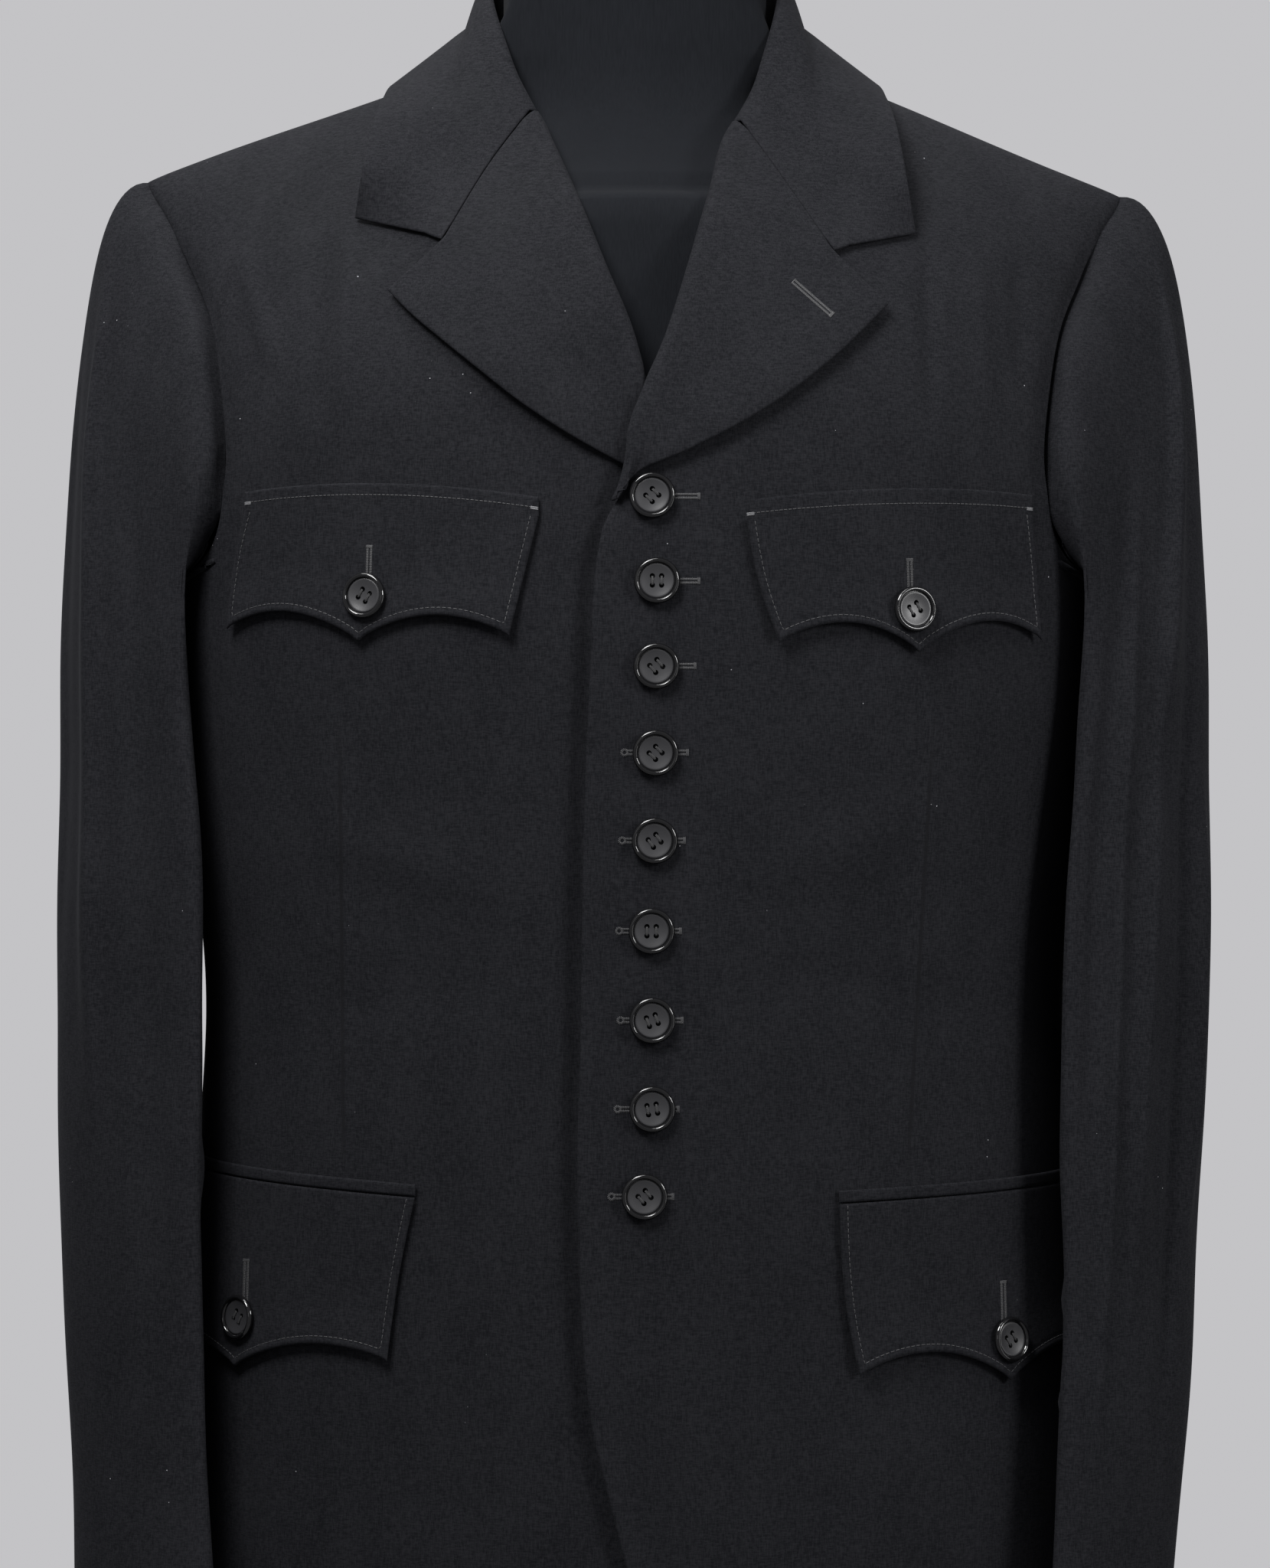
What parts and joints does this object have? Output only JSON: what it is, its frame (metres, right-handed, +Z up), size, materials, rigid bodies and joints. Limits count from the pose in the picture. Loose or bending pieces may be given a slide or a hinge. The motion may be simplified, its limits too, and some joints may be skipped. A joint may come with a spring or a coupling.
{
  "type": "blazer on a limbless dress form",
  "caption": "Single-breasted men's blazer with notched collar, pointed lapels, flap pockets with scalloped edges and a close row of front buttons, worn by a limbless dress form on a round base.",
  "frame": {"origin": "middle of the underside of the stand's round base", "axes": "+Z up, -Y the way the garment faces, +X the wearer's left"},
  "size_m": [0.522, 0.32, 1.028],
  "materials": {
    "cloth": "black fine wool with a very soft sheen",
    "button": "polished black",
    "jersey": "black knitted cover, matte",
    "stand": "satin black"
  },
  "bodies": {
    "root": {"front_left": "cloth", "front_right": "cloth", "back_left": "cloth", "back_right": "cloth", "top_sleeve_left": "cloth", "under_sleeve_left": "cloth", "top_sleeve_right": "cloth", "under_sleeve_right": "cloth", "lapel_left": "cloth", "lapel_right": "cloth", "collar": "cloth", "chest_band_right": "cloth", "chest_flap_right": "cloth", "chest_band_left": "cloth", "chest_flap_left": "cloth", "hip_welt_right": "cloth", "hip_flap_right": "cloth", "hip_welt_left": "cloth", "hip_flap_left": "cloth", "front_button_1": "button", "front_button_2": "button", "front_button_3": "button", "front_button_4": "button", "front_button_5": "button", "front_button_6": "button", "front_button_7": "button", "front_button_8": "button", "front_button_9": "button", "chest_button_right": "button", "chest_button_left": "button", "hip_button_right": "button", "hip_button_left": "button", "form_torso": "jersey", "form_neck_cap": "stand", "form_pole": "stand", "form_base": "stand"}
  },
  "joints": []
}
